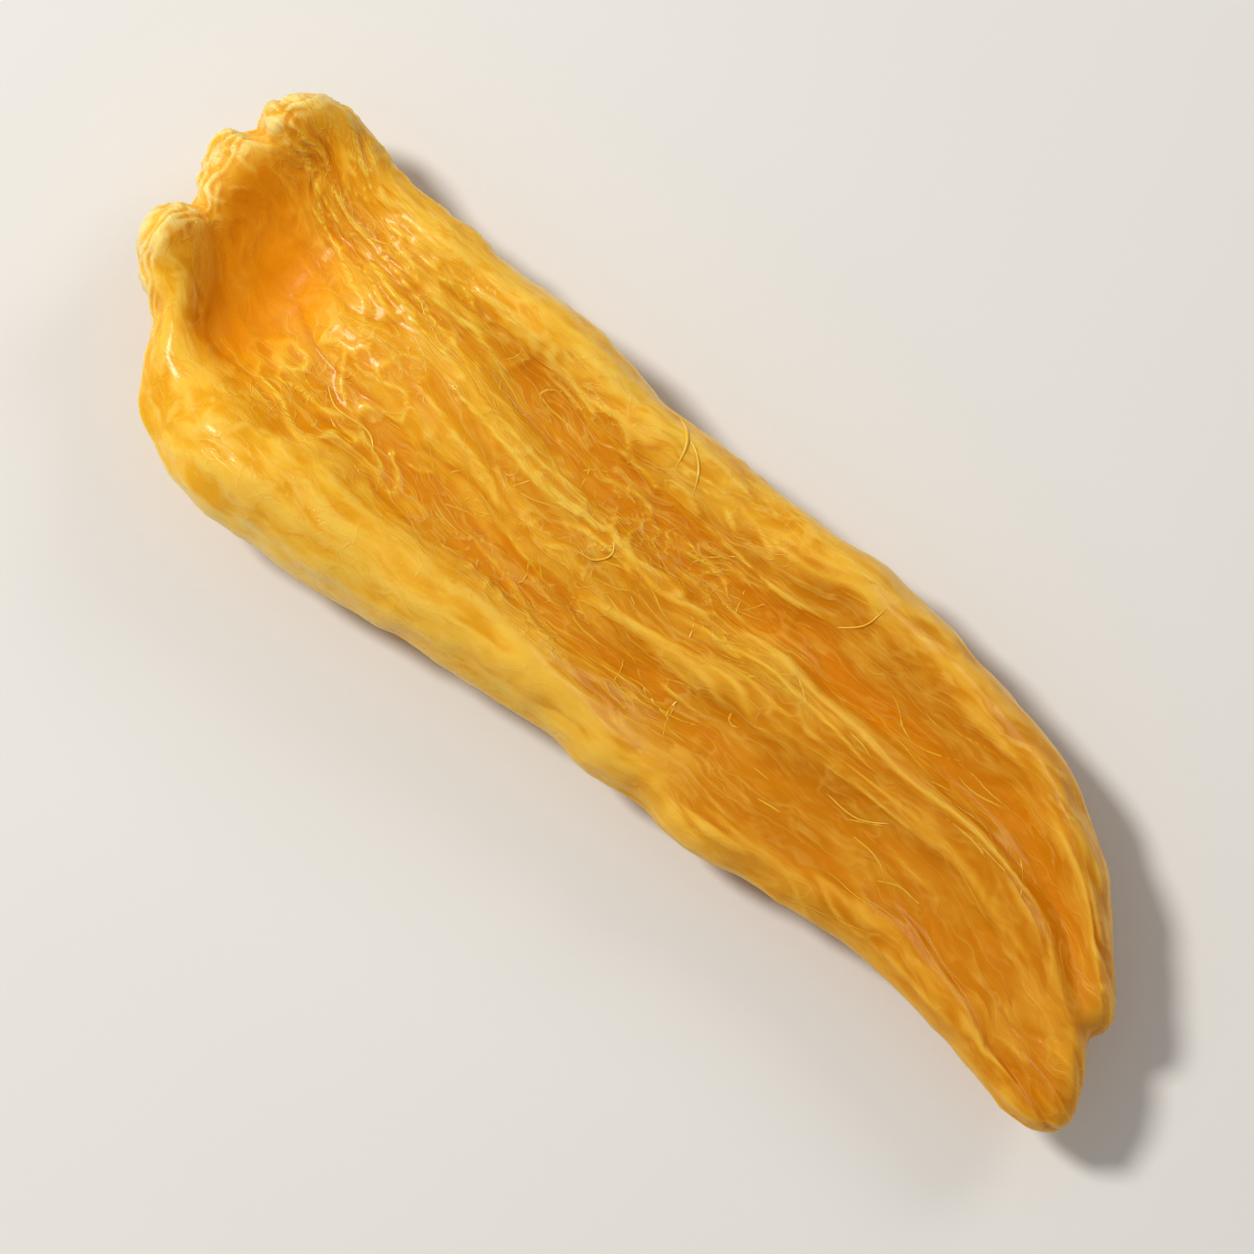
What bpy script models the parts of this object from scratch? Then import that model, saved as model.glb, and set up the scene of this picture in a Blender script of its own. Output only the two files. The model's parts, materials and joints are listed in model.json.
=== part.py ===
"""One dried jackfruit strip: the fleshy bulb round a seed, slit open, seed taken out, and dried.

It lies on its back along X with its hollow side up. The lobed lip, where the bulb was cut open,
is at -X and the blunt tip at +X. The long edges are rolled, and a fibrous ridge runs between
two furrows. Blender 4.5, metres, +Z up. The origin is on the surface it lies on, under the
middle of its box.

The shape is worked out in millimetres, by two numbers: x, the distance from the lip, and v,
the place across, which is -1 at the -Y edge and 1 at the +Y edge. In a noise, the numbers that
aren't a distance or a place only choose which stretch of the noise is read.
"""

import math

import bmesh
import bpy
from mathutils import Vector, noise

MM = 0.001

# Driving dimensions, in millimetres
ROLL_RADIUS = 2.6
BELLY_RADIUS = 6.5
END_ROUNDING = 0.8
LEAST_FLESH = 1.9
FOLD_END = 43.4

# The mesh: rings along the strip, places across each side, and how many of them turn the edge
RINGS_ALONG = 82
RINGS_TURNING_END = 6
PLACES_ACROSS = 22
PLACES_TURNING_EDGE = 5
TURN_LENGTH = 2.6
TURN_WIDTH = 0.26

# Plan of the two long edges: distance along the strip, place across it
LEFT_EDGE = (
    (-3.0, -6.2),
    (0.0, -6.6),
    (2.8, -7.6),
    (4.6, -10.3),
    (6.4, -11.9),
    (9.5, -13.1),
    (13.0, -13.2),
    (20.0, -11.9),
    (28.0, -9.5),
    (36.0, -7.4),
    (44.0, -6.4),
    (52.0, -4.3),
    (58.0, -2.7),
    (66.0, -2.4),
    (75.0, -2.9),
)
RIGHT_EDGE = (
    (-3.0, 9.1),
    (2.0, 9.4),
    (8.0, 9.5),
    (14.0, 10.4),
    (20.0, 11.3),
    (30.0, 11.9),
    (38.0, 13.2),
    (46.0, 14.6),
    (55.0, 14.4),
    (60.0, 13.5),
    (65.0, 11.2),
    (69.5, 7.4),
    (72.0, 6.2),
    (75.0, 5.2),
)

# Outline of the two ends: place across, distance along. The lip has three lobes
LIP_OUTLINE = (
    (-1.0, 1.0),
    (-0.94, -0.7),
    (-0.86, -1.5),
    (-0.70, -2.0),
    (-0.55, -2.2),
    (-0.42, -1.8),
    (-0.33, -1.0),
    (-0.22, -1.8),
    (-0.06, -2.9),
    (0.14, -3.3),
    (0.28, -2.9),
    (0.37, -1.7),
    (0.46, -2.3),
    (0.60, -2.5),
    (0.76, -2.1),
    (0.90, -1.2),
    (1.0, 0.8),
)
TIP_OUTLINE = (
    (-1.0, 70.3),
    (-0.88, 72.4),
    (-0.6, 73.6),
    (-0.25, 73.5),
    (0.1, 72.4),
    (0.4, 71.1),
    (0.65, 71.4),
    (0.85, 71.0),
    (0.95, 70.3),
    (1.0, 69.0),
)

# Heights above the surface, each given at distances along the strip
EDGE_HEIGHT = ((-3, 5.4), (6, 5.2), (18, 4.8), (40, 4.5), (60, 4.2), (75, 4.3))
BELLY_HEIGHT = (
    (-3, 2.6),
    (7, 1.1),
    (16, 0.3),
    (25, -0.15),
    (44, -0.15),
    (58, 0.5),
    (70, 1.4),
    (75, 2.0),
)
HOLLOW_HEIGHT = (
    (-3, 6.4),
    (0, 6.8),
    (3, 6.0),
    (7, 5.3),
    (11, 5.9),
    (17, 6.4),
    (28, 6.4),
    (42, 6.2),
    (60, 6.1),
    (70, 6.3),
    (75, 6.6),
)
LEFT_ROLL = (
    (-3, 0.5),
    (2, 1.3),
    (6, 2.0),
    (12, 2.5),
    (24, 2.3),
    (34, 1.8),
    (41, 1.3),
    (46, 0.8),
    (60, 0.5),
    (75, 0.3),
)
RIGHT_ROLL = ((-3, 0.7), (4, 1.6), (12, 1.8), (30, 1.6), (46, 1.6), (58, 1.4), (68, 0.9), (75, 0.4))
MIDDLE_RIDGE = ((6, 0.0), (11, 0.7), (20, 1.0), (32, 1.1), (46, 1.1), (58, 1.0), (66, 0.8), (73, 0.3))
RIGHT_FURROW = ((9, 0.2), (16, 0.5), (26, 0.7), (34, 0.8), (50, 0.9), (60, 0.8), (68, 0.6), (73, 0.3))
LEFT_FURROW = ((7, 0.1), (15, 0.3), (24, 0.5), (35, 0.6), (44, 0.4), (56, 0.3), (68, 0.2))

# Places across, from -1 at the left edge to 1 at the right, of the long forms, and their widths
LEFT_ROLL_PLACE = ((0, -0.76), (8, -0.72), (20, -0.72), (28, -0.78), (36, -0.84), (44, -0.88), (75, -0.86))
LEFT_ROLL_WIDTH = ((0, 0.24), (10, 0.29), (20, 0.29), (28, 0.24), (36, 0.19), (44, 0.15), (75, 0.15))
RIGHT_ROLL_PLACE = ((0, 0.84), (20, 0.86), (34, 0.80), (50, 0.78), (60, 0.76), (75, 0.72))
RIGHT_ROLL_WIDTH = ((0, 0.26), (20, 0.26), (44, 0.32), (60, 0.30), (75, 0.30))
MIDDLE_RIDGE_PLACE = (
    (7, 0.40),
    (13, 0.36),
    (20, 0.20),
    (28, 0.05),
    (38, -0.04),
    (46, 0.00),
    (56, 0.08),
    (75, 0.10),
)
RIGHT_FURROW_PLACE = ((9, 0.62), (20, 0.56), (28, 0.50), (36, 0.38), (52, 0.34), (64, 0.38), (75, 0.40))
LEFT_FURROW_PLACE = ((7, 0.00), (14, -0.14), (22, -0.32), (30, -0.42), (40, -0.46), (50, -0.40), (75, -0.36))
RIDGE_WIDTH = ((6, 0.36), (14, 0.32), (24, 0.25), (50, 0.24), (75, 0.28))
RIGHT_FURROW_WIDTH = 0.14
LEFT_FURROW_WIDTH = 0.182

# The left roll leans over the hollow, up to where its fold ends in a small dent
ROLL_LEAN = 0.9
ROLL_LEAN_PLACE = -0.62
ROLL_LEAN_WIDTH = 0.14
DENT_DEPTH = 0.6
DENT_LENGTH = 1.8

# The rim along the lip. Its middle lobe stands out past it, lower down, like a bead
NOTCHES = (-0.33, 0.37)
NOTCH_DEPTH = 1.1
NOTCH_WIDTH = 0.08
NOTCH_LENGTH = 1.9
RIM_HEIGHT = ((-1.0, 0.8), (-0.65, 1.5), (-0.3, 1.0), (0.1, 1.1), (0.4, 1.2), (0.7, 1.9), (1.0, 0.9))
RIM_PLACE = ((-1.0, 0.4), (-0.5, -0.2), (0.1, -0.7), (0.6, -0.5), (1.0, 0.6))
RIM_WIDTH = 2.2
SEED_HOLLOW_DEPTH = 0.8
SEED_HOLLOW_PLACE = 6.0
SEED_HOLLOW_LENGTH = 3.4
SEED_HOLLOW_MIDDLE = -0.05
SEED_HOLLOW_WIDTH = 0.45

# Wrinkles: folds along the strip, puckers across its edges, and creases on its back
FOLD_DEPTH = 0.24
FOLDS_EACH_SIDE = 3.4
FOLDS_SET_IN = (6, 13)
FOLD_DRIFT = 0.55
FOLD_DRIFT_LENGTH = 17
FOLD_PATCH_LENGTH = 13
FOLD_VALLEY_ROUNDNESS = 0.02
PUCKER_DEPTH = 0.5
PUCKER_SPACING = 5.5
PUCKER_LEAN = 2.2
BACK_CREASE_DEPTH = 0.6
EDGE_WAVE = 0.35
EDGE_WAVE_LENGTH = 3.6
EDGE_LIFT = 0.7
EDGE_LIFT_LENGTH = 8

# The flat spot it rests on. No crease crosses it: they set in between these distances from it
BELLY_CURVE = 2.4
REST_PLACE = -0.1
REST_MIDDLE = 35.0
CREASES_SET_IN_ACROSS = (0.2, 0.45)
CREASES_SET_IN_ALONG = (9, 17)


def at(stations, place):
    """The value at a place, on a smooth curve through (place, value) stations."""
    if place <= stations[0][0]:
        return stations[0][1]
    if place >= stations[-1][0]:
        return stations[-1][1]
    last = len(stations) - 1
    i = next(n for n in range(last) if place < stations[n + 1][0])
    (x0, y0), (x1, y1) = stations[i], stations[i + 1]

    def slope(n):
        before, after = stations[max(n - 1, 0)], stations[min(n + 1, last)]
        return (after[1] - before[1]) / (after[0] - before[0])

    step = x1 - x0
    t = (place - x0) / step
    start, end = slope(i) * step, slope(i + 1) * step
    return (
        (2 * t**3 - 3 * t**2 + 1) * y0
        + (t**3 - 2 * t**2 + t) * start
        + (3 * t**2 - 2 * t**3) * y1
        + (t**3 - t**2) * end
    )


def bump(offset, width):
    """A soft swelling: 1 at no offset, fading away over the width."""
    return math.exp(-((offset / width) ** 2))


def plateau(offset, width):
    """A flat-topped swelling with clear sides."""
    return math.exp(-((offset / width) ** 4))


def rise(place, start, end):
    """0 before start, 1 after end, smooth between them."""
    t = min(1.0, max(0.0, (place - start) / (end - start)))
    return t * t * (3 - 2 * t)


def round_over(distance, radius):
    """The share of full thickness at a distance in from a rounded edge."""
    t = min(1.0, max(0.0, distance / radius))
    return math.sqrt(1 - (1 - t) ** 2)


def notches(v):
    """1 in each of the two notches between the lip's lobes, 0 away from them."""
    return sum(bump(v - place, NOTCH_WIDTH) for place in NOTCHES)


def edge_wave(x, side):
    """The slow in and out of a long edge, and the dent where the rolled fold ends."""
    wave = EDGE_WAVE * noise.noise(Vector((x / EDGE_WAVE_LENGTH, 7.3 * side, 0.4)))
    dent = DENT_DEPTH * bump(x - FOLD_END, DENT_LENGTH) if side < 0 else 0.0
    return wave - dent


def middle_and_half_width(x):
    """Where the middle of the strip's width is, and half that width."""
    left = at(LEFT_EDGE, x) - edge_wave(x, -1)
    right = at(RIGHT_EDGE, x) + edge_wave(x, 1)
    return (left + right) / 2, (right - left) / 2


def flow(x, v):
    """The place across as the fibres see it: -1 and 1 at the edges, 0 along the middle ridge."""
    ridge = at(MIDDLE_RIDGE_PLACE, x)
    return (v - ridge) / (1 - ridge if v > ridge else 1 + ridge)


def folds(x, v, seed):
    """Folds that follow the fibres: tight valleys between rounded backs, from about -1 to 1."""
    across = FOLDS_EACH_SIDE * flow(x, v)
    drift = FOLD_DRIFT * noise.noise(Vector((x / FOLD_DRIFT_LENGTH, 0.5 * across, seed)))
    wave = math.sin(math.pi * (across + drift + 0.21 * seed))
    back = math.sqrt(wave**2 + FOLD_VALLEY_ROUNDNESS)
    strength = 0.6 + 0.7 * noise.noise(Vector((x / FOLD_PATCH_LENGTH, 0.8 * across, seed + 5.3)))
    return max(0.1, strength) * (2.2 * back - 1.4)


def puckers(x, v):
    """Small swellings that cross a rolled edge."""
    return noise.noise(Vector(((x + PUCKER_LEAN * v) / PUCKER_SPACING, 1.7 * v, 9.2)))


def long_form(shape, height, place, width, x, v):
    """A form that runs along the strip, with its height, its place across and its width at x."""
    return at(height, x) * shape(v - at(place, x), width)


def face_height(x, v, from_lip):
    """Height of the upper, hollow side."""
    height = at(HOLLOW_HEIGHT, x)
    height += long_form(bump, LEFT_ROLL, LEFT_ROLL_PLACE, at(LEFT_ROLL_WIDTH, x), x, v)
    height += long_form(bump, RIGHT_ROLL, RIGHT_ROLL_PLACE, at(RIGHT_ROLL_WIDTH, x), x, v)
    height += long_form(plateau, MIDDLE_RIDGE, MIDDLE_RIDGE_PLACE, at(RIDGE_WIDTH, x), x, v)
    height -= long_form(bump, RIGHT_FURROW, RIGHT_FURROW_PLACE, RIGHT_FURROW_WIDTH, x, v)
    height -= long_form(bump, LEFT_FURROW, LEFT_FURROW_PLACE, LEFT_FURROW_WIDTH, x, v)

    height += at(RIM_HEIGHT, v) * bump(x - at(RIM_PLACE, v), RIM_WIDTH)
    height -= NOTCH_DEPTH * notches(v) * math.exp(-from_lip / NOTCH_LENGTH)
    hollow = bump(x - SEED_HOLLOW_PLACE, SEED_HOLLOW_LENGTH) * bump(v - SEED_HOLLOW_MIDDLE, SEED_HOLLOW_WIDTH)
    height -= SEED_HOLLOW_DEPTH * hollow

    height += FOLD_DEPTH * rise(x, *FOLDS_SET_IN) * folds(x, v, 1.0)
    height += PUCKER_DEPTH * abs(v) * puckers(x, v)
    return height


def belly_height(x, v):
    """Height of the underside, which is flat on the surface at its middle."""
    from_rest = v - REST_PLACE
    height = at(BELLY_HEIGHT, x) + BELLY_CURVE * from_rest**2
    clear_of_rest = rise(abs(from_rest), *CREASES_SET_IN_ACROSS)
    clear_of_rest += rise(abs(x - REST_MIDDLE), *CREASES_SET_IN_ALONG)
    height += BACK_CREASE_DEPTH * min(1, clear_of_rest) * (0.5 - folds(x, v, 5.0))
    return max(height, 0.0)


def roll_lean(x, v, side):
    """How far the face of the left roll leans over towards the hollow."""
    if side < 0:
        return 0.0
    along = rise(x, 2, 10) * rise(FOLD_END + 2 - x, 0, 8)
    return ROLL_LEAN * along * bump(v - ROLL_LEAN_PLACE, ROLL_LEAN_WIDTH)


def strip_point(t_along, v, side):
    """A point of the strip, in millimetres: side is 1 on the hollow face and -1 on the back."""
    start, end = at(LIP_OUTLINE, v), at(TIP_OUTLINE, v)
    x = along_strip(t_along, start, end)
    middle, half = middle_and_half_width(x)
    across = half * v
    from_lip, from_tip, from_edge = x - start, end - x, half * (1 - abs(v))
    lift = EDGE_LIFT * v * noise.noise(Vector((x / EDGE_LIFT_LENGTH, 2.0 * v, 6.1)))
    edge = at(EDGE_HEIGHT, x) + lift
    radius = ROLL_RADIUS if side > 0 else BELLY_RADIUS
    full = round_over(from_edge, radius)
    full *= round_over(from_lip, END_ROUNDING * radius) * round_over(from_tip, END_ROUNDING * radius)
    surface = belly_height(x, v)
    if side > 0:
        surface = max(face_height(x, v, from_lip), surface + LEAST_FLESH)
    return Vector((x, middle + across + roll_lean(x, v, side), edge + (surface - edge) * full))


def turning(n, count, reach):
    """Distances that follow a quarter circle, so that a rounded edge is evenly divided."""
    return reach * (1 - math.cos(0.5 * math.pi * n / count))


def along_strip(n, start, end):
    """Distance from the lip of ring n: close together where the ends turn over, even between."""
    if n <= RINGS_TURNING_END:
        return start + turning(n, RINGS_TURNING_END, TURN_LENGTH)
    left = RINGS_ALONG - n
    if left <= RINGS_TURNING_END:
        return end - turning(left, RINGS_TURNING_END, TURN_LENGTH)
    share = (n - RINGS_TURNING_END) / (RINGS_ALONG - 2 * RINGS_TURNING_END)
    return start + TURN_LENGTH + share * (end - start - 2 * TURN_LENGTH)


def places_across():
    """The values of v from one edge to the other, close together where the edges turn over."""
    edge = [turning(n, PLACES_TURNING_EDGE, TURN_WIDTH) for n in range(PLACES_TURNING_EDGE)]
    step = (2 - 2 * TURN_WIDTH) / PLACES_ACROSS
    flat = [TURN_WIDTH + n * step for n in range(PLACES_ACROSS + 1)]
    return [-1 + d for d in edge + flat] + [1 - d for d in reversed(edge)]


def sides_as_rings(mesh):
    """Rows of vertices for the face and for the back, which share their outline."""
    places = places_across()
    last = len(places) - 1
    face, back = [], []
    for n in range(RINGS_ALONG + 1):
        upper = [mesh.verts.new(strip_point(n, v, 1) * MM) for v in places]
        at_end = n in (0, RINGS_ALONG)
        lower = [
            upper[j] if at_end or j in (0, last) else mesh.verts.new(strip_point(n, v, -1) * MM)
            for j, v in enumerate(places)
        ]
        face.append(upper)
        back.append(lower)
    return face, back


def dried_flesh():
    """Golden, waxy, slightly see-through dried flesh."""
    material = bpy.data.materials.new("dried_flesh")
    material.use_nodes = True
    shader = material.node_tree.nodes["Principled BSDF"]
    shader.inputs["Base Color"].default_value = (0.80, 0.42, 0.06, 1)
    shader.inputs["Roughness"].default_value = 0.42
    shader.inputs["Metallic"].default_value = 0.0
    return material


def jackfruit_strip():
    mesh = bmesh.new()
    face, back = sides_as_rings(mesh)
    for rows, flipped in ((face, False), (back, True)):
        for row, following in zip(rows, rows[1:]):
            for j in range(len(row) - 1):
                corners = [row[j], following[j], following[j + 1], row[j + 1]]
                mesh.faces.new(corners[::-1] if flipped else corners)
    bmesh.ops.recalc_face_normals(mesh, faces=mesh.faces)

    # The box's middle goes over the origin
    for axis in (0, 1):
        places = [vertex.co[axis] for vertex in mesh.verts]
        shift = -(min(places) + max(places)) / 2
        for vertex in mesh.verts:
            vertex.co[axis] += shift

    data = bpy.data.meshes.new("jackfruit_strip")
    mesh.to_mesh(data)
    mesh.free()
    data.materials.append(dried_flesh())
    data.shade_smooth()
    strip = bpy.data.objects.new("jackfruit_strip", data)
    bpy.context.scene.collection.objects.link(strip)
    return strip


def main():
    for old in list(bpy.data.objects):
        bpy.data.objects.remove(old)
    jackfruit_strip()


main()
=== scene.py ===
"""The dried jackfruit strip as it looks: golden, waxy, wrinkled along its grain, with loose fibres."""

import json
import math
import random

import bpy
import numpy as np
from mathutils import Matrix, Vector, noise
from mathutils.bvhtree import BVHTree

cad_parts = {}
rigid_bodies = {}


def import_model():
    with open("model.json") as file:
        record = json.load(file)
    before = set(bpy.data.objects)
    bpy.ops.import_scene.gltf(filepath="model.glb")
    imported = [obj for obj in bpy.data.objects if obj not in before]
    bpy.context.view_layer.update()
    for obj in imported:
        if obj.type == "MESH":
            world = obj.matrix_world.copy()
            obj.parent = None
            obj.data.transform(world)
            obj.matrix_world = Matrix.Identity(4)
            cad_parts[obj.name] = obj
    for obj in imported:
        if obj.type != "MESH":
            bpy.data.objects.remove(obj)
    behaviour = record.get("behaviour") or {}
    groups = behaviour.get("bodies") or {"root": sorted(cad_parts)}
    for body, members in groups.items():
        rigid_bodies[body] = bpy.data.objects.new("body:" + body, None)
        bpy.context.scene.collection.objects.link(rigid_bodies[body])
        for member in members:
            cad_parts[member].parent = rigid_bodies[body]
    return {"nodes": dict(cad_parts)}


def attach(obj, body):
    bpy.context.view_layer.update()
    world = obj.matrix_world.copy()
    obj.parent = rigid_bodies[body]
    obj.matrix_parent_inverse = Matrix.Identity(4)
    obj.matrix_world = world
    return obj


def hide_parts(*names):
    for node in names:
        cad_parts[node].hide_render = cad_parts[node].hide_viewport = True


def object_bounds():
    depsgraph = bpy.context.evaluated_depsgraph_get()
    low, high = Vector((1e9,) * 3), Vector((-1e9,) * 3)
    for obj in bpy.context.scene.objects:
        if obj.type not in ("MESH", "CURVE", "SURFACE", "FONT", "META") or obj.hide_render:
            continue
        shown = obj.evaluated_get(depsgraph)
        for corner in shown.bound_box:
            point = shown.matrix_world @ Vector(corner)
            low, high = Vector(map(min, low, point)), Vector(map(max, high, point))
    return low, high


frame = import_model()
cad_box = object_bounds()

MM = 0.001

# How the grain lies, as in the solid: distance along the strip from the lip, and place across,
# from -1 at its -Y edge to 1 at its +Y edge
LIP_REACH = -3.3
RIDGE_LINE = ((7, 0.40), (13, 0.36), (20, 0.20), (28, 0.05), (38, -0.04), (46, 0.00), (56, 0.08), (75, 0.10))
SLICE = 0.8
FIRST_FULL_SLICE = 1.6
LAST_FULL_SLICE = 67.5
END_SLICE = 0.7
END_REACH = 12.0

# Where the skin is calm: on the rolled edges and in the hollow behind the lip
LEFT_ROLL_INNER_SIDE = ((0, -0.50), (10, -0.38), (20, -0.42), (28, -0.53), (36, -0.68), (43, -0.72))
LEFT_ROLL_END = 43.0
RIGHT_ROLL_START = (4, 9)
RIGHT_ROLL_INNER_SIDE = (0.62, 0.78)
RIGHT_ROLL_CALM = 0.75
HOLLOW_CALM = 0.8
HOLLOW_FRONT = (2.2, 4.0)
HOLLOW_BACK = 11.0
HOLLOW_LEFT = (-0.62, -0.3)
HOLLOW_RIGHT = 0.55
CALMEST = 0.7

# Sizes of the wrinkles, in millimetres
FOLD_LENGTH = 15.0
FOLD_WIDTH = 2.1
FOLD_DEPTH = 0.19
FOLD_SHARPNESS = 0.2
CURL_SIZE = 1.2
CURL_HEIGHT = 0.11
CURL_LINE = 0.15
CURL_PATCH = (11, 5, 5)
CURLS_FADE = (36, 46)
CRUMPLED_FROM = (8, 12)
CRUMPLED_TO = (17, 24)
VEIN_LENGTH = 14.0
VEIN_WIDTH = 1.15
VEIN_HEIGHT = 0.17
VEIN_LINE = 0.13
VEIN_PATCH = (9, 4, 4)
VEINS_FADE = (38, 56)
ROLL_WAVE = 0.22
ROLL_WAVE_SIZE = (5.0, 1.6, 2.0)
ROLL_RIPPLE = 0.11
ROLL_RIPPLE_SIZE = (1.9, 0.9, 1.2)
WANDER = 1.3
WANDER_SIZE = (7, 4, 4)
SWIRL = 1.7
SWIRL_SIZE = (3.4, 2.6, 2.6)
PUCKER_SIZE = 1.5
PUCKER_DEPTH = 0.10
PUCKERED_EDGE = (0.72, 0.98)
LIP_WRINKLE_SPACING = 0.85
LIP_WRINKLE_DEPTH = 0.09
LIP_WRINKLE_BEND = 0.9
LIP_LUMP_SIZE = 1.7
LIP_LUMP_HEIGHT = 0.32
WRINKLED_LIP_REACH = 3.4
WRINKLED_LIP_END = 5.0
BACK_SHARE = 0.6

# The relief that the colours follow, with painted shade in its hollows and painted highlights on its crests:
# rounds of smoothing, and the height that counts as full
FINE_ROUNDS, FINE_FULL = 8, 0.10
BROAD_ROUNDS, BROAD_FULL = 60, 0.7

# Fibres on the skin, in millimetres
FIBRE_STEP = 0.4
LONG_FIBRES = 140
CURLED_FIBRES = 70
BACK_FIBRES = 200
SHORTEST_FIBRE = 8
FIBRE_RADIUS = (0.05, 0.13)
LONG_FIBRE_LENGTH = (3.0, 11.0)
LONG_FIBRE_BEND = 0.7
CURLED_FIBRE_LENGTH = (1.5, 4.5)
CURLED_FIBRE_BEND = 3.2
FIBRES_FROM, FIBRES_TO, BACK_FIBRES_TO = 1, 56, 69
CURLS_FROM, CURLS_TO = 10, 44
BURIED_SHARE = -0.8
FIBRE_SPREAD = 0.45
FIBRE_HEADING = 0.2
FIBRE_BEND_LENGTH = 2.2
LAST_FIBRE_PLACE = 70
OUTERMOST_FIBRE = 0.95
HOLLOW_END = 11.0
LOOSE_FIBRE_LIFT = 0.02
STEEPEST_LAID = 0.3
REST_CLEARANCE = 0.25
TAPER = 0.9

# Fibres that came loose: half their thickness, then points of the plan, by the distance along
# the strip and across its box
LOOSE_FIBRES = (
    (0.12, ((27.6, 10.6), (29.0, 10.2), (30.2, 9.2), (30.7, 7.6))),
    (0.09, ((29.4, 9.9), (30.9, 9.4), (31.9, 8.6), (32.6, 7.4))),
    (0.08, ((30.0, 0.4), (31.4, 0.8), (31.9, 1.8), (31.2, 2.6))),
    (0.07, ((43.6, 8.4), (44.9, 9.8), (45.0, 11.6))),
    (0.08, ((12.4, -3.2), (14.2, -4.0), (16.6, -3.6), (18.0, -4.4))),
    (0.06, ((50.2, 1.6), (52.6, 1.9), (54.4, 3.2))),
)


# Laying a value out over the surface


def between(stations, place):
    """The value at a place, on straight lines through (place, value) stations."""
    return np.interp(place, [p for p, _ in stations], [value for _, value in stations])


def step_up(value, start, end):
    """0 below start, 1 above end, smooth between them."""
    t = np.clip((value - start) / (end - start), 0, 1)
    return t * t * (3 - 2 * t)


def noise_at(points, size, seed):
    """Smooth noise, about -1 to 1, with bumps of that size, at points in millimetres."""
    spread = points / np.asarray(size) + np.array((3.7, 8.1, 1.3)) * seed
    return np.array([noise.noise(Vector(point)) for point in spread])


class Lie:
    """Where each point of the flesh is in the strip's own terms, worked out from the mesh."""

    def __init__(self, piece):
        mesh = piece.data
        self.points = vertex_array(mesh, "co") / MM
        self.normals = vertex_array(mesh, "normal")
        self.low = self.points[:, 0].min()
        self.along = self.points[:, 0] - self.low + LIP_REACH
        self.width_by_slices()
        self.middle, self.half = self.middle_and_half(self.along)
        self.across = np.clip((self.points[:, 1] - self.middle) / self.half, -1.0, 1.0)
        ridge = between(RIDGE_LINE, self.along)
        off_ridge = self.across - ridge
        self.flow = np.where(off_ridge > 0, off_ridge / (1 - ridge), off_ridge / (1 + ridge))
        self.grain = np.column_stack((self.along, self.flow * self.half, self.points[:, 2]))
        self.from_lip = self.points[:, 0] - self.end_outline(-1)
        self.from_tip = self.end_outline(1) - self.points[:, 0]
        self.upper = step_up(self.normals[:, 2], -0.35, 0.1)

    def width_by_slices(self):
        """Finds the two long edges, slice by slice."""
        self.slices = np.arange(FIRST_FULL_SLICE, LAST_FULL_SLICE, SLICE)
        inside = [np.abs(self.along - place) < SLICE for place in self.slices]
        self.left_edge = [self.points[chosen, 1].min() for chosen in inside]
        self.right_edge = [self.points[chosen, 1].max() for chosen in inside]

    def end_outline(self, side):
        """Where the lip (side -1) or the tip (side 1) ends, straight ahead of each point."""
        across = self.points[:, 1]
        near = self.points[:, 0] * side > self.points[:, 0].max() - END_REACH
        slices = np.arange(across[near].min() + END_SLICE, across[near].max() - END_SLICE, END_SLICE)
        furthest = [(self.points[near & (np.abs(across - y) < END_SLICE), 0] * side).max() for y in slices]
        return side * np.interp(across, slices, furthest)

    def middle_and_half(self, along):
        """The middle and the half of the strip's width, at a distance along it."""
        left = np.interp(along, self.slices, self.left_edge)
        right = np.interp(along, self.slices, self.right_edge)
        return (left + right) / 2, (right - left) / 2

    def spot(self, along, flow):
        """The point of the plan at that distance along and place in the flow, and the half width there."""
        middle, half = self.middle_and_half(along)
        ridge = between(RIDGE_LINE, along)
        across = ridge + flow * (1 - ridge if flow > 0 else 1 + ridge)
        return along + self.low - LIP_REACH, middle + half * across, half


def vertex_array(mesh, name):
    values = np.empty(3 * len(mesh.vertices))
    mesh.vertices.foreach_get(name, values)
    return values.reshape(-1, 3)


def move_vertices(mesh, points):
    mesh.vertices.foreach_set("co", points.ravel())
    mesh.update()


def keep_on_points(mesh, name, kind, values):
    """Stores values on the mesh, for its material to read."""
    layer = mesh.attributes.new(name, kind, "POINT")
    field = "vector" if kind == "FLOAT_VECTOR" else "value"
    layer.data.foreach_set(field, np.ascontiguousarray(values, dtype=float).ravel())


# The flesh


def copy_of_solid():
    """A closed, even mesh of the strip's own solid, fine enough to carry its wrinkles."""
    solid = frame["nodes"]["jackfruit_strip"]
    bpy.ops.object.select_all(action="DESELECT")
    solid.select_set(True)
    bpy.context.view_layer.objects.active = solid
    bpy.ops.object.duplicate()
    flesh = bpy.context.object
    flesh.name = "flesh"
    bpy.ops.object.parent_clear(type="CLEAR_KEEP_TRANSFORM")
    bpy.ops.mesh.customdata_custom_splitnormals_clear()

    bpy.ops.object.mode_set(mode="EDIT")
    bpy.ops.mesh.select_all(action="SELECT")
    bpy.ops.mesh.remove_doubles(threshold=1e-6)
    bpy.ops.mesh.tris_convert_to_quads(face_threshold=math.pi, shape_threshold=math.pi)
    bpy.ops.mesh.normals_make_consistent(inside=False)
    bpy.ops.object.mode_set(mode="OBJECT")

    finer = flesh.modifiers.new("finer", "SUBSURF")
    finer.levels = 2
    finer.render_levels = 2
    bpy.ops.object.modifier_apply(modifier="finer")
    bpy.ops.object.shade_smooth()
    return flesh


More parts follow.
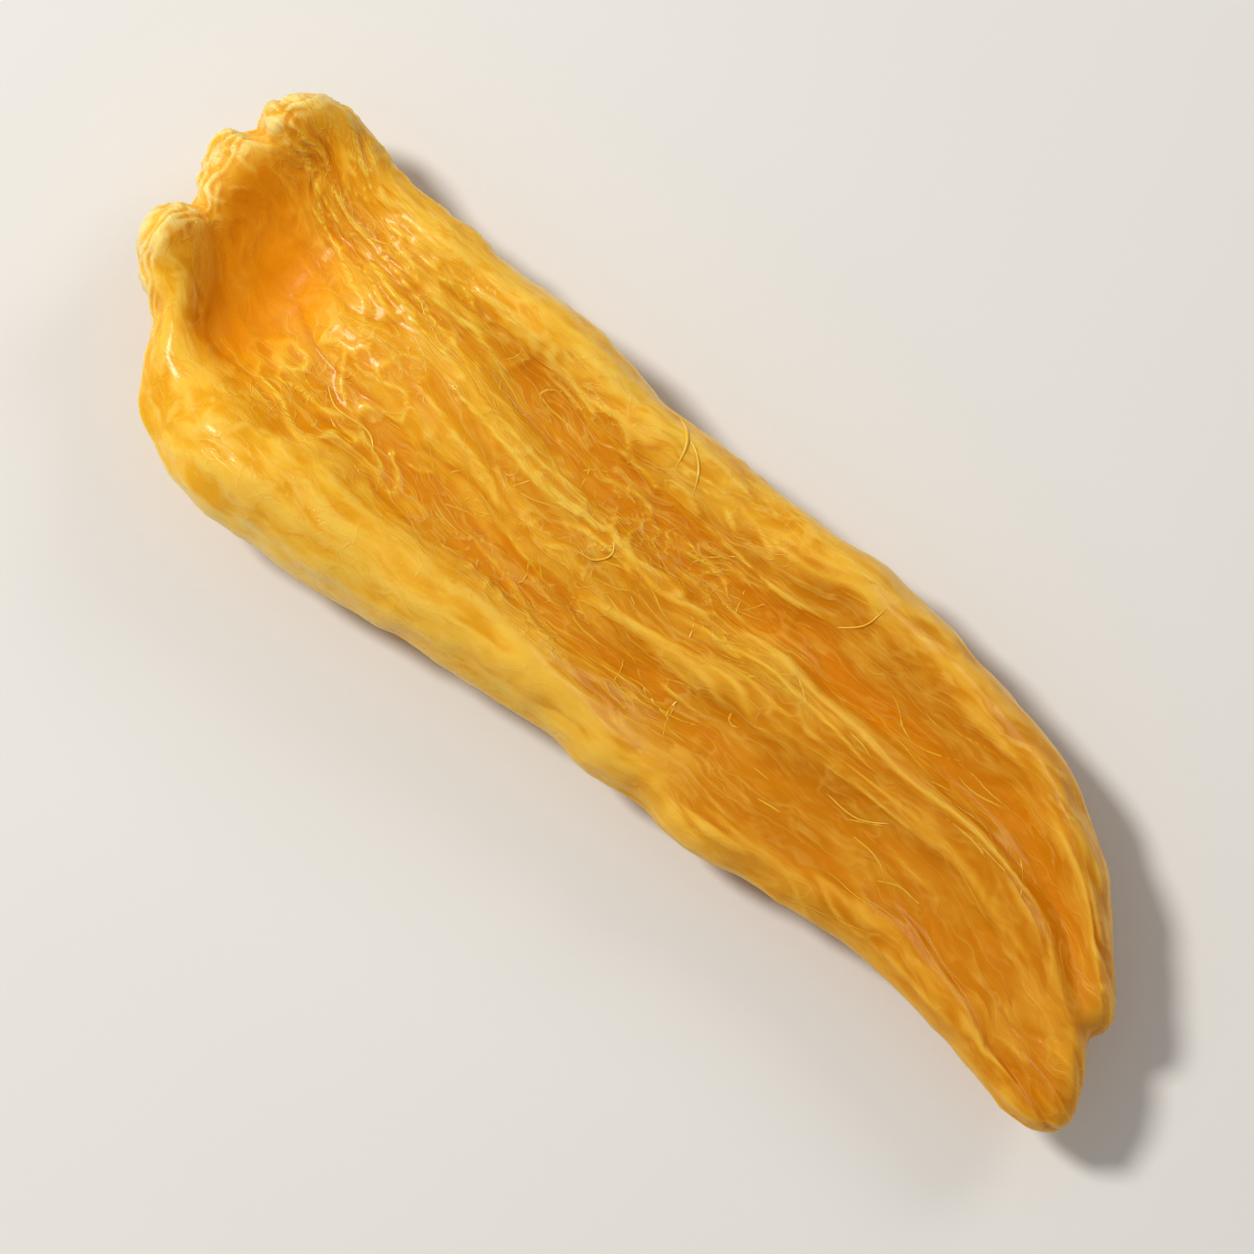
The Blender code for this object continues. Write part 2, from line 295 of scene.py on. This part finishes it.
def smooth_places(lie):
    """1 on the waxy rolled fold and in the hollow at the lip, 0 where the skin is wrinkled."""
    roll_side = between(LEFT_ROLL_INNER_SIDE, lie.along)
    left_roll = step_up(roll_side - lie.across, -0.08, 0.1) * step_up(LEFT_ROLL_END - lie.along, 0, 3)
    right_roll = step_up(lie.across, *RIGHT_ROLL_INNER_SIDE) * step_up(lie.along, *RIGHT_ROLL_START)
    calm = (left_roll, RIGHT_ROLL_CALM * right_roll, HOLLOW_CALM * in_hollow(lie))
    return np.maximum.reduce(calm) * lie.upper


def in_hollow(lie):
    """1 in the hollow behind the lip, where the flesh is smooth and a glow is painted in deep orange."""
    along = step_up(lie.from_lip, *HOLLOW_FRONT) * step_up(HOLLOW_BACK - lie.along, 0, 5)
    across = step_up(lie.across, *HOLLOW_LEFT) * step_up(HOLLOW_RIGHT - lie.across, 0, 0.35)
    return along * across * lie.upper


def at_lip(lie):
    """1 on the rolled rim of the lip, fading away behind it."""
    near = step_up(WRINKLED_LIP_REACH - lie.from_lip, 0, 1.8)
    return near * step_up(WRINKLED_LIP_END - lie.along, 0, 3)


def raised_line(values, width):
    """1 along the lines where a noise is 0, fading away on both sides."""
    return np.exp(-((values / width) ** 2))


def wrinkles(lie):
    """How far each point stands above the smooth flesh, in millimetres."""
    smooth = smooth_places(lie)
    skin = (1 - CALMEST * smooth) * (1 - (1 - BACK_SHARE) * (1 - lie.upper))
    wander = WANDER * noise_at(lie.grain, WANDER_SIZE, 1)
    combed = lie.grain + np.column_stack((0 * wander, wander, 0 * wander))
    height = skin * (folds(combed) + veins(lie, combed) + curls(lie))
    height += smooth * (1 - in_hollow(lie)) * waves(combed)
    return height + puckers(lie) + lip_crumples(lie)


def folds(combed):
    """Sharp creases between rounded backs, along the grain."""
    fold = np.abs(noise_at(combed, (FOLD_LENGTH, FOLD_WIDTH, 3), 2))
    return -FOLD_DEPTH * np.exp(-fold / FOLD_SHARPNESS)


def veins(lie, combed):
    """Raised threads along the grain, in patches, fewer towards the tip."""
    vein = noise_at(combed, (VEIN_LENGTH, VEIN_WIDTH, 1.6), 3)
    where = step_up(noise_at(lie.grain, VEIN_PATCH, 10), -0.3, 0.3)
    where *= 1 - 0.5 * step_up(lie.along, *VEINS_FADE)
    return VEIN_HEIGHT * where * raised_line(vein, VEIN_LINE)


def curls(lie):
    """Short bent threads that cross the grain, in patches, most of them behind the hollow."""
    swirl = np.column_stack([SWIRL * noise_at(lie.grain, SWIRL_SIZE, seed) for seed in (4, 5, 6)])
    curl = noise_at(lie.grain + swirl, (2.6 * CURL_SIZE, CURL_SIZE, CURL_SIZE), 7)
    where = 0.15 + step_up(noise_at(lie.grain, CURL_PATCH, 8), -0.25, 0.3)
    where *= 1 - 0.9 * step_up(lie.along, *CURLS_FADE)
    where += 0.6 * step_up(lie.along, *CRUMPLED_FROM) * (1 - step_up(lie.along, *CRUMPLED_TO))
    return CURL_HEIGHT * where * raised_line(curl, CURL_LINE)


def waves(combed):
    """Soft waves and ripples on the rolled edges."""
    wave = ROLL_WAVE * noise_at(combed, ROLL_WAVE_SIZE, 14)
    return wave + ROLL_RIPPLE * noise_at(combed, ROLL_RIPPLE_SIZE, 15)


def puckers(lie):
    """Small dents along both long edges."""
    pucker = noise_at(lie.points, (PUCKER_SIZE, 2.2 * PUCKER_SIZE, 2 * PUCKER_SIZE), 9)
    return PUCKER_DEPTH * step_up(np.abs(lie.across), *PUCKERED_EDGE) * pucker


def lip_crumples(lie):
    """Lumps on the rolled rim of the lip, with fine wrinkles that run along the rim."""
    bent = lie.from_lip + LIP_WRINKLE_BEND * noise_at(lie.points, (1.6, 1.6, 1.6), 12)
    terraces = LIP_WRINKLE_DEPTH * np.sin(2 * np.pi * bent / LIP_WRINKLE_SPACING)
    lump = noise_at(lie.points, (LIP_LUMP_SIZE, LIP_LUMP_SIZE, LIP_LUMP_SIZE), 13)
    return at_lip(lie) * (terraces + LIP_LUMP_HEIGHT * lump)


def relief(piece, lie, rounds):
    """How far each point stands above (or below, negative) the flesh round it, in millimetres."""
    mesh = piece.data
    edges = np.empty(2 * len(mesh.edges), dtype=int)
    mesh.edges.foreach_get("vertices", edges)
    one, other = edges.reshape(-1, 2).T
    count = np.bincount(one, minlength=len(mesh.vertices)) + np.bincount(other, minlength=len(mesh.vertices))
    start = vertex_array(mesh, "co") / MM
    blurred = start.copy()
    for _ in range(rounds):
        total = np.zeros_like(blurred)
        for axis in range(3):
            total[:, axis] += np.bincount(one, blurred[other, axis], len(blurred))
            total[:, axis] += np.bincount(other, blurred[one, axis], len(blurred))
        blurred = total / count[:, None]
    return ((start - blurred) * lie.normals).sum(axis=1)


def wrinkled_flesh():
    flesh = copy_of_solid()
    lie = Lie(flesh)
    low, high = (np.array(corner) / MM for corner in cad_box)
    points = np.clip(lie.points + lie.normals * wrinkles(lie)[:, None], low, high)
    move_vertices(flesh.data, points * MM)
    lie.normals = vertex_array(flesh.data, "normal")

    facing_up = lie.normals[:, 2]
    keep_on_points(flesh.data, "grain", "FLOAT_VECTOR", lie.grain)
    for name, values in (
        ("fine_relief", np.clip(relief(flesh, lie, FINE_ROUNDS) / FINE_FULL, -1, 1)),
        ("broad_relief", np.clip(relief(flesh, lie, BROAD_ROUNDS) / BROAD_FULL, -1, 1)),
        # Mask for the painted glow at the thin edges and the tip
        ("edge", np.maximum(step_up(np.abs(lie.across), 0.86, 1.0), step_up(1.5 - lie.from_tip, 0, 1))),
        # Mask for the painted rim highlight on the steep sides
        ("outline", step_up(0.62 - facing_up, 0, 0.35) * step_up(facing_up, -0.25, 0.05)),
        ("smooth", smooth_places(lie)),
        ("hollow", in_hollow(lie)),
        ("lip", at_lip(lie)),
    ):
        keep_on_points(flesh.data, name, "FLOAT", values)
    return flesh, lie


# The fibres


def laid_down(surface, x, y, side):
    """Where a thread let down on the flesh touches it, and which way the flesh faces there."""
    start = Vector((x * MM, y * MM, side * 0.05))
    touch, normal, _, _ = surface.ray_cast(start, Vector((0, 0, -side)))
    if touch is None or normal.z * side < STEEPEST_LAID or touch.z < REST_CLEARANCE * MM:
        return None
    return touch, normal


def is_smooth(along, y, lie):
    """Whether a point of the plan is on the waxy roll or in the hollow at the lip."""
    middle, half = lie.middle_and_half(along)
    across = (y - middle) / half
    on_roll = along < LEFT_ROLL_END and across < between(LEFT_ROLL_INNER_SIDE, along)
    return on_roll or (along < HOLLOW_END and abs(across) < 0.5)


def fibre_route(surface, lie, dice, along, length, curl, side):
    """The way that one fibre takes over the flesh, along the grain."""
    flow = dice.gauss(0, FIBRE_SPREAD)
    heading = dice.gauss(0, FIBRE_HEADING)
    bend = dice.uniform(0, 300)
    route = []
    for step in range(round(length / FIBRE_STEP)):
        x, y, half = lie.spot(along, flow)
        touched = laid_down(surface, x, y, side)
        off_the_strip = abs(flow) > OUTERMOST_FIBRE or along > LAST_FIBRE_PLACE
        if touched is None or off_the_strip or is_smooth(along, y, lie):
            break
        route.append(touched)
        turn = heading + curl * noise.noise(Vector((bend, step * FIBRE_STEP / FIBRE_BEND_LENGTH, 0.5)))
        along += FIBRE_STEP * math.cos(turn)
        flow += FIBRE_STEP * math.sin(turn) / half
    return route


def loose_fibre_route(surface, lie, corners):
    """A smooth way through the points where a loose fibre lies."""
    count = max(6, round(3 * (len(corners) - 1) / FIBRE_STEP))
    route = []
    for n in range(count + 1):
        place = n / count * (len(corners) - 1)
        i = min(int(place), len(corners) - 2)
        before, after = corners[max(i - 1, 0)], corners[min(i + 2, len(corners) - 1)]
        t = place - i
        x, y = (
            (2 * t**3 - 3 * t**2 + 1) * start
            + (t**3 - 2 * t**2 + t) * (end - earlier) / 2
            + (3 * t**2 - 2 * t**3) * end
            + (t**3 - t**2) * (later - start) / 2
            for earlier, start, end, later in zip(before, corners[i], corners[i + 1], after)
        )
        touched = laid_down(surface, x + lie.low - LIP_REACH, y, 1)
        if touched:
            route.append(touched)
    return route


def thread_curve(name):
    """An empty curve with a round thickness of 1 mm, which each point's radius scales."""
    bpy.ops.curve.primitive_bezier_curve_add()
    curve = bpy.context.object
    curve.name = name
    curve.location = (0, 0, 0)
    curve.data.splines.clear()
    curve.data.dimensions = "3D"
    curve.data.bevel_depth = MM
    curve.data.bevel_resolution = 1
    curve.data.use_fill_caps = True
    return curve


def add_thread(curve, route, radius, lift):
    """A thread along the route, thin and sunk in at its ends and raised by lift at its middle."""
    thread = curve.data.splines.new("POLY")
    thread.points.add(len(route) - 1)
    for n, (touch, normal) in enumerate(route):
        swell = math.sin(math.pi * (n + 0.35) / (len(route) - 0.3)) ** TAPER
        thread.points[n].radius = radius * (0.35 + 0.65 * swell)
        height = (lift + radius) * swell - radius
        thread.points[n].co = (*(touch + normal * (height * MM)), 1)


def finished_threads(curve):
    """The threads as one mesh of closed, smooth tubes."""
    bpy.ops.object.select_all(action="DESELECT")
    curve.select_set(True)
    bpy.context.view_layer.objects.active = curve
    bpy.ops.object.convert(target="MESH")
    bpy.ops.object.mode_set(mode="EDIT")
    bpy.ops.mesh.select_all(action="SELECT")
    bpy.ops.mesh.remove_doubles(threshold=1e-7)
    bpy.ops.mesh.normals_make_consistent(inside=False)
    bpy.ops.object.mode_set(mode="OBJECT")
    bpy.ops.object.shade_smooth()
    return bpy.context.object


def skin_fibres(surface, lie):
    """Fine fibres half sunk in the skin of both sides."""
    dice = random.Random(11)
    curve = thread_curve("skin_fibres")
    kinds = (
        (LONG_FIBRES, (FIBRES_FROM, FIBRES_TO), LONG_FIBRE_LENGTH, LONG_FIBRE_BEND, 1),
        (CURLED_FIBRES, (CURLS_FROM, CURLS_TO), CURLED_FIBRE_LENGTH, CURLED_FIBRE_BEND, 1),
        (BACK_FIBRES, (FIBRES_FROM, BACK_FIBRES_TO), LONG_FIBRE_LENGTH, LONG_FIBRE_BEND, -1),
    )
    for count, places, lengths, curl, side in kinds:
        for _ in range(count):
            along, length = dice.uniform(*places), dice.uniform(*lengths)
            route = fibre_route(surface, lie, dice, along, length, curl, side)
            radius = dice.uniform(*FIBRE_RADIUS)
            if len(route) >= SHORTEST_FIBRE:
                add_thread(curve, route, radius, BURIED_SHARE * radius)
    return finished_threads(curve)


def loose_fibres(surface, lie):
    """The few longer fibres that came loose and lie on the strip."""
    curve = thread_curve("loose_fibres")
    for radius, corners in LOOSE_FIBRES:
        add_thread(curve, loose_fibre_route(surface, lie, corners), radius, LOOSE_FIBRE_LIFT)
    return finished_threads(curve)


# Finishes


class Tone:
    """A socket of a finish that takes ordinary maths."""

    def __init__(self, finish, socket):
        self.finish = finish
        self.socket = socket

    def sum(self, operation, *values):
        inputs = dict(enumerate((self, *values)))
        return self.finish.add("ShaderNodeMath", {"operation": operation}, inputs)

    def __add__(self, other):
        return self.sum("ADD", other)

    def __sub__(self, other):
        return self.sum("SUBTRACT", other)

    def __mul__(self, other):
        return self.sum("MULTIPLY", other)

    def __rsub__(self, other):
        return (self * -1) + other

    def __abs__(self):
        return self.sum("ABSOLUTE")

    __radd__ = __add__
    __rmul__ = __mul__

    def near_middle(self, width, strength=1.0):
        """Strength along the lines where this passes 0.5, fading away over the width beside them."""
        return abs(self - 0.5).over(0.0, width, strength, 0.0)

    def over(self, start, end, low=0.0, high=1.0):
        """Low where this is below start, high above end, smooth between them."""
        inputs = {"Value": self, "From Min": start, "From Max": end, "To Min": low, "To Max": high}
        return self.finish.add("ShaderNodeMapRange", {"interpolation_type": "SMOOTHSTEP"}, inputs)


class Finish:
    """A material made of nodes."""

    def __init__(self, name):
        self.material = bpy.data.materials.new(name)
        self.material.use_nodes = True
        self.tree = self.material.node_tree
        self.tree.nodes.clear()

    def add(self, kind, settings=None, inputs=None, output=0):
        """A node of that kind, with its settings made first, and its output as a Tone."""
        node = self.tree.nodes.new(kind)
        for name, value in (settings or {}).items():
            setattr(node, name, value)
        for name, value in (inputs or {}).items():
            if isinstance(value, Tone):
                self.tree.links.new(value.socket, node.inputs[name])
            else:
                node.inputs[name].default_value = value
        return Tone(self, node.outputs[output]) if node.outputs else None

    def kept(self, name, vector=False):
        """A value kept on the mesh's points."""
        return self.add("ShaderNodeAttribute", {"attribute_name": name}, output=1 if vector else 2)

    def mix(self, share, first, second):
        """A colour between two, or a painted colour over another where the share is 1."""
        return self.add("ShaderNodeMix", {"data_type": "RGBA"}, {0: share, 6: first, 7: second}, output=2)

    def stretched(self, vector, sizes):
        """The vector measured in steps of those sizes."""
        inputs = {0: vector, 1: [1 / size for size in sizes]}
        return self.add("ShaderNodeVectorMath", {"operation": "MULTIPLY"}, inputs)

    def moved(self, vector, by, reach):
        """The vector, moved by a noise's colour times the reach."""
        inputs = {0: by, 1: (reach, reach, reach), 2: vector}
        return self.add("ShaderNodeVectorMath", {"operation": "MULTIPLY_ADD"}, inputs)

    def grainy(self, vector, detail=2.0, roughness=0.5, colour=False):
        """A noise, about 0.2 to 0.8, or the same as three separate noises in a colour."""
        inputs = {"Vector": vector, "Scale": 1.0, "Detail": detail, "Roughness": roughness}
        return self.add("ShaderNodeTexNoise", None, inputs, output=1 if colour else 0)

    def skin(self, inputs):
        shader = self.add("ShaderNodeBsdfPrincipled", None, inputs)
        self.add("ShaderNodeOutputMaterial", None, {"Surface": shader})
        return self.material


HONEY = (0.84, 0.42, 0.014, 1)
AMBER = (0.79, 0.33, 0.004, 1)
# Painted shade: the deep amber painted into the furrows and the fine creases
PAINTED_SHADE_AMBER = (0.74, 0.275, 0.001, 1)
STRAW = (0.90, 0.49, 0.03, 1)
PALE_STRAW = (0.96, 0.66, 0.15, 1)
WAX_YELLOW = (0.86, 0.46, 0.015, 1)
PALE_WAX = (0.96, 0.595, 0.08, 1)
TIP_AMBER = (0.65, 0.245, 0.001, 1)
CREAM = (0.97, 0.76, 0.36, 1)
# Painted glow: the orange painted into the hollow behind the lip
GLOWING_ORANGE = (0.84, 0.32, 0.0005, 1)

# Patterns on the flesh: the size of each along the strip, across it and up, in millimetres
DRIFT_SIZE = (4.5, 3.0, 3.0)
DRIFT_REACH = 2.4
STREAK_SIZE = (6.0, 0.34, 0.5)
VEIN_SIZE = (15.0, 1.1, 1.2)
SMALL_VEIN_SIZE = (9.0, 0.6, 0.8)
WHIRL_SIZE = (2.4, 2.0, 2.0)
WHIRL_REACH = 2.8
CURL_PATTERN_SIZE = (2.2, 0.8, 0.9)
CURLY_PATCH_SIZE = (7.0, 3.5, 3.5)
CLOUD_SIZE = (8.0, 3.5, 3.5)
FILM_SIZE = (5.0, 1.5, 2.0)
FLECK_SIZE = (1.8, 0.7, 0.9)
PORE_SIZE = (0.6, 0.28, 0.3)
FLESH_BUMP = 0.07 * MM

# The fibres' own patterns, in metres, and their bump
FIBRE_TONE_SIZE = (0.004, 0.002, 0.002)
FIBRE_FLECK_SIZE = (0.0005, 0.0005, 0.0005)
FIBRE_BUMP = 0.02 * MM


class SkinMarks:
    """The patterns on the flesh, which its colour, its gloss and its finest relief share."""

    def __init__(self, paint, grain, along, lively):
        # Streaks and veins: fibres just under the skin, which drift from side to side along the grain
        drift = paint.grainy(paint.stretched(grain, DRIFT_SIZE), colour=True)
        combed = paint.moved(grain, drift, DRIFT_REACH)
        streak = paint.grainy(paint.stretched(combed, STREAK_SIZE), 2.0, 0.55)
        self.streaks = streak.over(0.50, 0.72) * lively
        vein = paint.grainy(paint.stretched(combed, VEIN_SIZE), 1.0)
        small_vein = paint.grainy(paint.stretched(combed, SMALL_VEIN_SIZE), 1.0)
        self.veins = (vein.near_middle(0.035) + small_vein.near_middle(0.03, 0.6)) * lively

        # Curls: short bent fibres that cross the grain
        whirl = paint.grainy(paint.stretched(grain, WHIRL_SIZE), colour=True)
        whirled = paint.moved(grain, whirl, WHIRL_REACH)
        curl = paint.grainy(paint.stretched(whirled, CURL_PATTERN_SIZE), 1.0)
        curly_patch = paint.grainy(paint.stretched(grain, CURLY_PATCH_SIZE), 1.0)
        curls = curl.near_middle(0.04) * curly_patch.over(0.45, 0.62) * lively
        self.curls = curls * along.over(34, 48, 1.0, 0.15)

        # Clouds of deeper colour, a waxy film, pale flecks and pores
        self.cloud = paint.grainy(paint.stretched(grain, CLOUD_SIZE), 3.0, 0.6)
        self.film = paint.grainy(paint.stretched(combed, FILM_SIZE), 2.0, 0.6)
        self.fleck = paint.grainy(paint.stretched(combed, FLECK_SIZE), 2.0, 0.55)
        self.pores = paint.grainy(paint.stretched(combed, PORE_SIZE), 3.0, 0.6)


def flesh_colour(paint, marks, along, lively):
    """Honey, deeper towards the tip and paler on the fibres; painted shade deepens the furrows and fine
    creases, painted highlights pale the crests along with the raised fibres' own paler tone, a painted glow
    fills the hollow and the thin edges, and a painted rim highlight pales the sides.
    """
    fine, broad = paint.kept("fine_relief"), paint.kept("broad_relief")
    edge, smooth, hollow, lip = (paint.kept(name) for name in ("edge", "smooth", "hollow", "lip"))
    outline = paint.kept("outline")
    waxy = (smooth * 0.5 + 0.45) * along.over(30, 58, 1.0, 0.65)
    colour = HONEY
    for share, layer in (
        (marks.cloud.over(0.35, 0.68, 0.0, 0.8), AMBER),
        (along.over(10, 52, 0.0, 0.95), TIP_AMBER),
        (smooth * along.over(20, 55, 0.6, 0.2), WAX_YELLOW),
        (marks.film.over(0.43, 0.62) * waxy, PALE_WAX),
        (marks.fleck.over(0.54, 0.68) * (smooth * 0.45 + 0.15), PALE_STRAW),
        # Painted shade in the broad furrows
        (broad.over(-0.5, 0.05, 1.0, 0.0), PAINTED_SHADE_AMBER),
        # Painted glow in the hollow behind the lip
        (hollow * marks.cloud.over(0.3, 0.7, 0.95, 0.6), GLOWING_ORANGE),
        # Painted shade in the fine creases
        (fine.over(-0.6, 0.0, 0.35, 0.0), PAINTED_SHADE_AMBER),
        # Paler on the fine crests: partly the raised fibres' own paler tone, partly a painted highlight
        (fine.over(0.05, 0.7, 0.0, 0.75) * lively, STRAW),
        (fine.over(0.3, 1.0, 0.0, 0.6) * along.over(30, 62, 1.0, 0.7), PALE_STRAW),
        # Painted highlight on the broad crests
        (broad.over(0.1, 0.9, 0.0, 0.4), PALE_WAX),
        # Painted glow at the thin edges
        (edge * 0.35, STRAW),
        # Painted rim highlight on the sides
        (outline * along.over(40, 60, 0.5, 0.3), PALE_WAX),
        (lip * 0.45, PALE_WAX),
        # Painted highlight, in cream, on the crests of the lip's wrinkles
        (lip * fine.over(0.0, 0.8, 0.0, 0.75), CREAM),
        # Painted rim highlight, in cream, on the sides near the lip
        (outline * along.over(10, 34, 0.7, 0.0), CREAM),
        (marks.streaks * along.over(30, 60, 0.5, 0.3), STRAW),
        (marks.veins * 0.3, PALE_STRAW),
        (marks.curls * 0.35, PALE_STRAW),
    ):
        colour = paint.mix(share, colour, layer)
    return colour


def flesh_finish():
    """Waxy, translucent flesh: its light comes back amber, and it is glossiest on the rolled edges."""
    paint = Finish("dried_jackfruit_flesh")
    grain = paint.kept("grain", vector=True)
    smooth, hollow = paint.kept("smooth"), paint.kept("hollow")
    along = paint.add("ShaderNodeSeparateXYZ", None, {0: grain})
    lively = ((1 - smooth * 0.5) - hollow * 0.45) * along.over(34, 56, 1.0, 0.45)
    marks = SkinMarks(paint, grain, along, lively)

    height = marks.streaks * 0.3 + marks.veins * 0.5 + marks.curls * 0.6
    height = height + marks.pores * 0.3 + marks.fleck * 0.5
    bumped = paint.add("ShaderNodeBump", None, {"Strength": 1.0, "Distance": FLESH_BUMP, "Height": height})
    roughness = (0.42 - smooth * 0.12) - (marks.streaks + marks.curls) * 0.06
    roughness = roughness + (marks.pores - 0.5) * 0.22 + hollow * 0.2
    return paint.skin(
        {
            "Base Color": flesh_colour(paint, marks, along, lively),
            "Roughness": roughness,
            "Normal": bumped,
            "Specular IOR Level": 0.15,
            "Subsurface Weight": 0.55,
            "Subsurface Radius": (1.0, 0.42, 0.05),
            "Subsurface Scale": 2.0 * MM,
            "Coat Weight": (1 - hollow * 0.85) * along.over(9, 24, 0.08, 0.26),
            "Coat Roughness": 0.13,
        }
    )


def fibre_finish(name, deep, pale):
    """A thin, slightly glossy fibre between two colours."""
    paint = Finish(name)
    place = paint.add("ShaderNodeTexCoord", output=3)
    tone = paint.grainy(paint.stretched(place, FIBRE_TONE_SIZE))
    fleck = paint.grainy(paint.stretched(place, FIBRE_FLECK_SIZE))
    bumped = paint.add("ShaderNodeBump", None, {"Strength": 0.5, "Distance": FIBRE_BUMP, "Height": fleck})
    return paint.skin(
        {
            "Base Color": paint.mix(tone.over(0.35, 0.65), deep, pale),
            "Roughness": 0.34 + (fleck - 0.5) * 0.2,
            "Normal": bumped,
            "Subsurface Weight": 0.2,
            "Subsurface Radius": (1.0, 0.5, 0.1),
            "Subsurface Scale": 0.2 * MM,
            "Coat Weight": 0.1,
            "Coat Roughness": 0.2,
        }
    )


# Table, light and camera

TABLE_SIZE = 3.0
TABLE_GAP = 0.03 * MM
TABLE_COLOURS = ((0.80, 0.79, 0.77, 1), (0.83, 0.82, 0.80, 1))
TABLE_MOTTLE_SIZE = (0.05, 0.05, 0.05)
SKY_COLOUR = (1, 0.99, 0.97, 1)
SKY_STRENGTH = 0.26
LIGHT_DISTANCE = 0.6
LIGHT_TARGET = Vector((0, 0, 0.005))
EYE_TARGET = Vector((0, 0, 0.004))
EYE_AZIMUTH = 47.5
EYE_ELEVATION = 79
EYE_DISTANCE = 0.225
LENS = 110


def table_finish():
    paint = Finish("pale_table")
    place = paint.add("ShaderNodeTexCoord", output=3)
    mottle = paint.grainy(paint.stretched(place, TABLE_MOTTLE_SIZE), 3.0)
    return paint.skin({"Base Color": paint.mix(mottle, *TABLE_COLOURS), "Roughness": 0.7})


def table_top():
    bpy.ops.mesh.primitive_plane_add(size=TABLE_SIZE, location=(0, 0, -TABLE_GAP))
    top = bpy.context.object
    top.name = "table_top"
    top.data.materials.append(table_finish())


def round_strip(azimuth, elevation, distance):
    """A place round the strip: azimuth 0 is at its -Y side, 90 at its tip."""
    turn, lift = math.radians(azimuth), math.radians(elevation)
    level = distance * math.cos(lift)
    return Vector((level * math.sin(turn), -level * math.cos(turn), distance * math.sin(lift)))


def aimed(thing, place, target):
    thing.location = place
    thing.rotation_euler = (target - place).to_track_quat("-Z", "Y").to_euler()


def soft_light(name, azimuth, elevation, size, power, colour):
    bpy.ops.object.light_add(type="AREA")
    lamp = bpy.context.object
    lamp.name = name
    lamp.data.shape = "DISK"
    lamp.data.size = size
    lamp.data.energy = power
    lamp.data.color = colour
    aimed(lamp, round_strip(azimuth, elevation, LIGHT_DISTANCE), LIGHT_TARGET)


def studio():
    """An even, pale sky, a warm key light from the left, and a weak light from the back."""
    world = bpy.data.worlds.new("studio")
    bpy.context.scene.world = world
    world.use_nodes = True
    sky = world.node_tree.nodes["Background"]
    sky.inputs["Color"].default_value = SKY_COLOUR
    sky.inputs["Strength"].default_value = SKY_STRENGTH
    soft_light("key", azimuth=290, elevation=50, size=0.12, power=2.2, colour=(1, 0.97, 0.92))
    soft_light("back", azimuth=173, elevation=34, size=0.25, power=0.5, colour=(1, 0.96, 0.9))
    view = bpy.context.scene.view_settings
    view.view_transform = "Standard"
    view.look = "Medium High Contrast"


def camera():
    bpy.ops.object.camera_add()
    eye = bpy.context.object
    eye.data.lens = LENS
    eye.data.clip_start = 0.01
    aimed(eye, EYE_TARGET + round_strip(EYE_AZIMUTH, EYE_ELEVATION, EYE_DISTANCE), EYE_TARGET)
    bpy.context.scene.camera = eye


flesh, lie = wrinkled_flesh()
surface = BVHTree.FromObject(flesh, bpy.context.evaluated_depsgraph_get())
for piece, finish in (
    (flesh, flesh_finish()),
    (skin_fibres(surface, lie), fibre_finish("fibre_in_the_skin", WAX_YELLOW, STRAW)),
    (loose_fibres(surface, lie), fibre_finish("loose_fibre", STRAW, PALE_WAX)),
):
    piece.data.materials.clear()
    piece.data.materials.append(finish)
    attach(piece, "root")
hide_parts("jackfruit_strip")

table_top()
studio()
camera()
